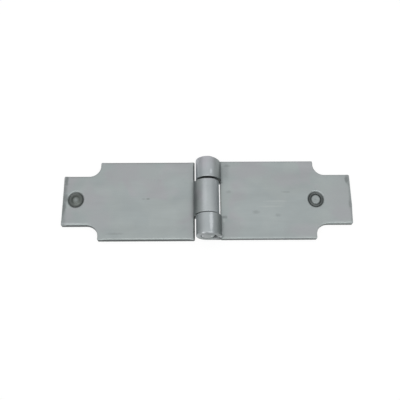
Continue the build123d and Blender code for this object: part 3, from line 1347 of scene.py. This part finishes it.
def torn_and_shaded_colour(tree, place, reach, height, cut_tone):
    """Dark torn steel with painted shade, made lighter by noise, towards its foot, and on the worn
    end's rim.
    """
    tears = noise(tree, vector_maths(tree, "MULTIPLY", place, (1.6, 1.6, 0.5)), 1.0, 4.0)
    colour = mixed(tree, ramp(tree, tears, 0.3, 0.75, 0.0, cut_tone), CUT_STEEL_AND_SHADE, PLAIN)
    colour = mixed(tree, ramp(tree, height, 1.5, 0.3, 0.0, 0.55), colour, PLAIN)
    worn_rim = product(
        tree, ramp(tree, reach, LEAF_END - 0.9, LEAF_END - 0.5),
        ramp(tree, height, 2.1, 2.4), WORN_RIM_AMOUNT)
    return mixed(tree, worn_rim, colour, RUBBED_AND_HIGHLIGHT)


print("the rings are dark out to", round(mark_outer / MM, 1), "mm")

# %% [markdown]
# ## The leaf's finish
# The leaves were cut from the same sheet, so both get the same tree of nodes with other numbers.
# Two materials made by hand would drift apart. The masks are laid over the sheet's own colour
# one after the other, and the grain also drives the roughness and a very low bump.

# %% The leaf finish
SHEET_ROUGHNESS = 0.42
GRAIN_ROUGHNESS = 0.10
CUT_ROUGHNESS = 0.14
BUMP_STRENGTH = 0.25
BUMP_HEIGHT = 0.03 * MM


def leaf_finish(name, side, middle, scale_look, boss_amount, cut_tone, lips, band_width, patches):
    """Bare rolled steel for one leaf, with its own mark, smears, rubbed streaks, painted highlights and
    painted shade.

    The side is 1 for the leaf towards +X and -1 for the other, and middle is the mark's. The lips are
    two distances from the middle of the pin's length: from the first to the second, the painted shade
    of the crease grows, as one of the leaf's own lips hangs over its plate there.
    """
    material, tree, inputs, place = steel_material(name)
    parts = parts_of(tree, place)
    reach = maths(tree, "MULTIPLY", parts["X"], float(side))
    across = maths(tree, "ABSOLUTE", parts["Y"])
    height = parts["Z"]
    look = use(tree, rolled_sheet, Place=place, Warm=WARM, Cool=COOL, Plain=PLAIN)
    colour = bend_painted_sheen(tree, look["Color"], reach, height)
    colour = crease_painted_shade(tree, colour, reach, across, height, lips)
    colour = collar_darker(tree, colour, place, across)
    colour = end_band_painted_shade(tree, colour, place, reach, band_width)
    colour = laid_patches(tree, place, colour, patches)
    colour = mark_darker(tree, colour, place, height, middle, scale_look, boss_amount)
    cut = cut_mask(tree, reach, across, height)
    colour = mixed(tree, cut, colour, torn_and_shaded_colour(tree, place, reach, height, cut_tone))
    rough = maths(tree, "MULTIPLY_ADD", look["Grain"], GRAIN_ROUGHNESS, SHEET_ROUGHNESS)
    bump = tree.nodes.new("ShaderNodeBump")
    feed(tree, bump.inputs["Strength"], BUMP_STRENGTH)
    feed(tree, bump.inputs["Distance"], BUMP_HEIGHT)
    feed(tree, bump.inputs["Height"], look["Height"])
    feed(tree, inputs["Normal"], bump.outputs["Normal"])
    feed(tree, inputs["Base Color"], colour)
    feed(tree, inputs["Roughness"], maths(tree, "MULTIPLY_ADD", cut, CUT_ROUGHNESS, rough))
    print(name, "has", len(tree.nodes), "nodes")
    return material


TOP = sheet / MM
ROLL_TOP = 2 * roll_radius / MM
FAR_SEAM = far_inner / MM
RIGHT_NECK = (right_middle - half_neck) / MM
LEFT_NECK = (left_middle - half_neck) / MM
print("top face at", round(TOP, 2), "mm and top of the roll at", round(ROLL_TOP, 2), "mm")

# %% [markdown]
# ## Patches of the right leaf
# Each patch was found by holding the picture against the photograph. It has a centre and half sizes in
# millimetres, a strength, and its paint, and later patches lie over earlier ones. Some are smears and
# rubbed places, and some are painted highlights and painted shade. Random specks would be quicker, but
# they would fall in other places than on the real leaf.

# %% Finish of the right leaf
right_patches = [
    # smears on the plate, painted shade in the far seam and along the end
    ((12.4, 22.4, TOP), (2.6, 1.0, 1), 0.45, SMEAR_AND_SHADE),
    ((13.2, 5.0, TOP), (2.0, 1.2, 1), 0.3, SMEAR_AND_SHADE),
    ((29.2, -8.2, TOP), (2.6, 1.4, 1), 0.35, SMEAR_AND_SHADE),
    ((42.3, -10.2, TOP), (2.2, 1.2, 1), 0.3, SMEAR_AND_SHADE),
    ((48.0, 4.8, TOP), (3.2, 0.7, 1), 0.3, SMEAR_AND_SHADE),
    ((10.2, -11.3, TOP), (2.0, 1.2, 1), 0.7, SMEAR_AND_SHADE),
    ((7.6, FAR_SEAM + 0.3, 6.0), (2.4, 0.9, 5.0), 0.9, DIRT_AND_SHADE),
    ((85.6, 13.0, TOP), (1.3, 3.6, 2), 0.9, SMEAR_AND_SHADE),
    ((86.2, -4.2, TOP), (1.0, 5.5, 2), 0.9, SMEAR_AND_SHADE),
    # a speck and a light spot on the boss
    ((65.5, -0.1, TOP), (0.5, 0.6, 1), 0.5, SMEAR_AND_SHADE),
    ((67.0, 0.4, TOP), (0.9, 0.9, 1), 0.4, RUBBED_AND_HIGHLIGHT),
    # rubbed streaks
    ((41.0, -1.2, TOP), (9.0, 0.7, 1), 0.45, RUBBED_AND_HIGHLIGHT),
    ((38.0, -4.6, TOP), (9.0, 0.6, 1), 0.4, RUBBED_AND_HIGHLIGHT),
    ((9.7, -13.6, TOP), (0.8, 1.6, 1), 0.7, RUBBED_AND_HIGHLIGHT),
    # painted highlights on the neck's edge, along the roll and at the far seam
    ((81.0, RIGHT_NECK + 1.1, TOP), (12.0, 0.5, 1.5), 0.15, PAINTED_HIGHLIGHT),
    ((2.0, -17.5, ROLL_TOP), (1.3, 9.0, 2), 0.45, PAINTED_HIGHLIGHT),
    ((2.2, 14.2, ROLL_TOP), (0.9, 2.0, 2), 0.4, PAINTED_HIGHLIGHT),
    ((0.0, FAR_SEAM + 0.4, ROLL_TOP), (5.0, 0.5, 2), 0.15, PAINTED_HIGHLIGHT),
    # a painted highlight and painted shade on the roll's flanks, and darker patches beside it
    ((5.5, 19.0, 11.5), (3.0, 9.0, 3.5), 0.35, RUBBED_AND_HIGHLIGHT),
    ((6.5, -19.0, 11.0), (2.0, 8.0, 3.0), 0.15, SMEAR_AND_SHADE),
    ((11.4, 19.5, TOP), (2.6, 7.0, 1), 0.33, SMEAR_AND_SHADE),
    ((14.0, -19.0, TOP), (7.0, 9.0, 1), 0.13, SMEAR_AND_SHADE),
    # warm tints and weak smears
    ((26.0, 19.0, TOP), (16.0, 6.0, 1), 0.8, WARM),
    ((49.0, 13.0, TOP), (12.0, 6.0, 1), 0.8, WARM),
    ((58.0, -20.0, TOP), (13.0, 5.0, 1), 0.8, WARM),
    ((80.0, 0.0, TOP), (9.0, 13.0, 1), 0.5, WARM),
    ((14.0, -20.0, TOP), (7.0, 6.0, 1), 0.5, WARM),
    ((30.0, -21.0, TOP), (42.0, 5.0, 1), 0.10, SMEAR_AND_SHADE),
    ((82.0, -9.0, TOP), (9.0, 6.0, 1), 0.8, WARM),
    ((45.0, 16.0, TOP), (16.0, 5.0, 1), 0.06, SMEAR_AND_SHADE),
    # the near end of the barrel: painted light inside the roll, a darker end face, and painted
    # highlights on the rims and the lip
    ((5.5, NEAR_END + 2.5, 4.5), (3.5, 5.0, 3.5), 0.6, PAINTED_HIGHLIGHT),
    ((0.0, NEAR_END, 9.0), (9.0, 0.4, 7.0), 0.35, SMEAR_AND_SHADE),
    ((-2.8, NEAR_END + 0.2, ROLL_TOP - 0.8), (1.3, 0.5, 1.0), 0.9, PAINTED_HIGHLIGHT),
    ((7.6, NEAR_END + 0.4, 5.5), (1.5, 0.9, 2.5), 0.5, PAINTED_HIGHLIGHT),
    ((1.6, NEAR_END + 0.2, ROLL_TOP - 0.5), (2.0, 0.5, 0.9), 0.4, PAINTED_HIGHLIGHT),
]
right_finish = leaf_finish(
    "right_leaf_bare_steel", 1, (right_mark[0] / MM, (right_middle + right_mark[1]) / MM, 0),
    scale_look=(2.0, 2.9, SCALE), boss_amount=0.2, cut_tone=0.6, lips=(10.2, 11.4),
    band_width=1.7, patches=right_patches)

# %% [markdown]
# ## Patches of the left leaf
# This leaf has its own smears, a broader band of painted shade at its end, and painted shade on the
# edges beside the barrel. The scale covers its boss as well, and is a little olive. One list for both
# leaves, mirrored, would be shorter, but no two leaves pick up the same dirt.

# %% Finish of the left leaf
left_patches = [
    # a double speck, painted shade along the end, and a smear at the near edge
    ((-36.0, 0.6, TOP), (1.4, 0.5, 1), 0.9, SMEAR_AND_SHADE),
    ((-38.6, 0.6, TOP), (1.2, 0.4, 1), 0.5, SMEAR_AND_SHADE),
    ((-85.9, 12.8, TOP), (1.2, 4.4, 2), 0.9, SMEAR_AND_SHADE),
    ((-85.8, 1.2, TOP), (1.8, 3.6, 2), 0.8, SMEAR_AND_SHADE),
    ((-86.3, -5.0, TOP), (1.3, 5.0, 2), 0.9, SMEAR_AND_SHADE),
    ((-55.0, -21.6, TOP), (6.0, 0.8, 1), 0.3, SMEAR_AND_SHADE),
    # a rubbed place, and a painted highlight on the neck's edge
    ((-38.0, 10.0, TOP), (10.0, 6.0, 1), 0.2, RUBBED_AND_HIGHLIGHT),
    ((-81.0, LEFT_NECK + 1.3, TOP), (14.0, 0.5, 1.5), 0.15, PAINTED_HIGHLIGHT),
    # warm tints, and painted shade on the edges beside the barrel
    ((-47.0, 19.0, TOP), (12.0, 7.0, 1), 0.8, WARM),
    ((-13.0, 22.0, TOP), (6.0, 4.0, 1), 0.7, WARM),
    ((-7.9, 17.5, TOP), (0.85, 12.0, 1), 0.9, DIRT_AND_SHADE),
    ((-7.9, -18.0, TOP), (0.85, 12.0, 1), 1.0, DIRT_AND_SHADE),
    # more warm tints, a weak smear, and plain and rubbed places
    ((-64.0, -13.0, TOP), (9.0, 9.0, 1), 0.6, WARM),
    ((-72.0, 3.0, TOP), (5.0, 12.0, 1), 0.6, WARM),
    ((-35.0, -20.5, TOP), (42.0, 5.0, 1), 0.10, SMEAR_AND_SHADE),
    ((-35.0, 18.0, TOP), (10.0, 7.0, 1), 0.7, PLAIN),
    ((-20.0, 16.0, TOP), (13.0, 9.0, 1), 0.2, RUBBED_AND_HIGHLIGHT),
    # a painted highlight along the roll, and painted shade on its flank
    ((-1.8, 0.0, ROLL_TOP), (2.0, 14.0, 2), 0.15, PAINTED_HIGHLIGHT),
    ((-6.4, -4.0, 9.0), (2.4, 7.0, 4.0), 0.35, SMEAR_AND_SHADE),
]
left_finish = leaf_finish(
    "left_leaf_bare_steel", -1, (-left_mark[0] / MM, (left_middle + left_mark[1]) / MM, 0),
    scale_look=(0.0, 1.7, OLIVE_SCALE), boss_amount=0.5, cut_tone=0.15, lips=(12.4, 11.2),
    band_width=3.4, patches=left_patches)

# %% [markdown]
# ## The pin's finish
# Of the pin only the two ends show, cut clean and a little brighter than the sheet, with painted
# highlights near their edges. Its side is seen as a thin line in the gaps between the knuckles, and
# there it is painted nearly black as painted shade. Two material slots could part end and side. The
# stored cut mask does it with one.

# %% The pin finish
PIN_ROUGHNESS = 0.36
PIN_GRAIN_ROUGHNESS = 0.15
PIN_MIDDLE = axis_height / MM
pin_finish, tree, inputs, place = steel_material("pin_bare_steel")
pin_look = use(tree, rolled_sheet, Place=place, Warm=WARM, Cool=COOL, Plain=PIN_STEEL)
from_middle = maths(tree, "ABSOLUTE", parts_of(tree, place)["Y"])
near_an_end = ramp(tree, from_middle, -NEAR_END - 5.0, -NEAR_END - 3.0)
clean = maths(tree, "MAXIMUM", stored(tree, "cut"), near_an_end)
# A smear and two painted highlights on the near end face.
pin_steel = laid_patches(tree, place, pin_look["Color"], [
    ((0.8, NEAR_END, 10.5), (3.6, 1.0, 1.0), 0.5, SMEAR_AND_SHADE),
    ((-3.3, NEAR_END, PIN_MIDDLE), (0.8, 1.0, 1.5), 0.6, PAINTED_HIGHLIGHT),
    ((2.3, NEAR_END, PIN_MIDDLE), (0.7, 1.0, 1.5), 0.5, PAINTED_HIGHLIGHT),
])
# The side is painted nearly black as painted shade, except near the ends.
feed(tree, inputs["Base Color"], mixed(tree, clean, PIN_SIDE_SHADE, pin_steel))
pin_rough = maths(tree, "MULTIPLY_ADD", pin_look["Grain"], PIN_GRAIN_ROUGHNESS, PIN_ROUGHNESS)
feed(tree, inputs["Roughness"], pin_rough)
print(pin_finish.name, "has", len(tree.nodes), "nodes")

# %% [markdown]
# ## Putting the finishes on
# Each piece gets its material and the body that carries it, and the CAD node that it stands for is
# hidden. Each row also holds a name for its slot. The pin is held tight in the right leaf's knuckles,
# so both ride on the same body, and the left leaf rides on a body of its own, as it swings.

# %% Put the finishes on
for obj, material, node, body, slot in (
    (right_leaf, right_finish, "right_leaf", "fixed_leaf", "right_leaf_steel"),
    (left_leaf, left_finish, "left_leaf", "swing_leaf", "left_leaf_steel"),
    (pin, pin_finish, "pin", "fixed_leaf", "pin_steel"),
):
    obj.data.materials.clear()
    obj.data.materials.append(material)
    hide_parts(node)
    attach(obj, body)
    print(obj.name, "rides on", body)
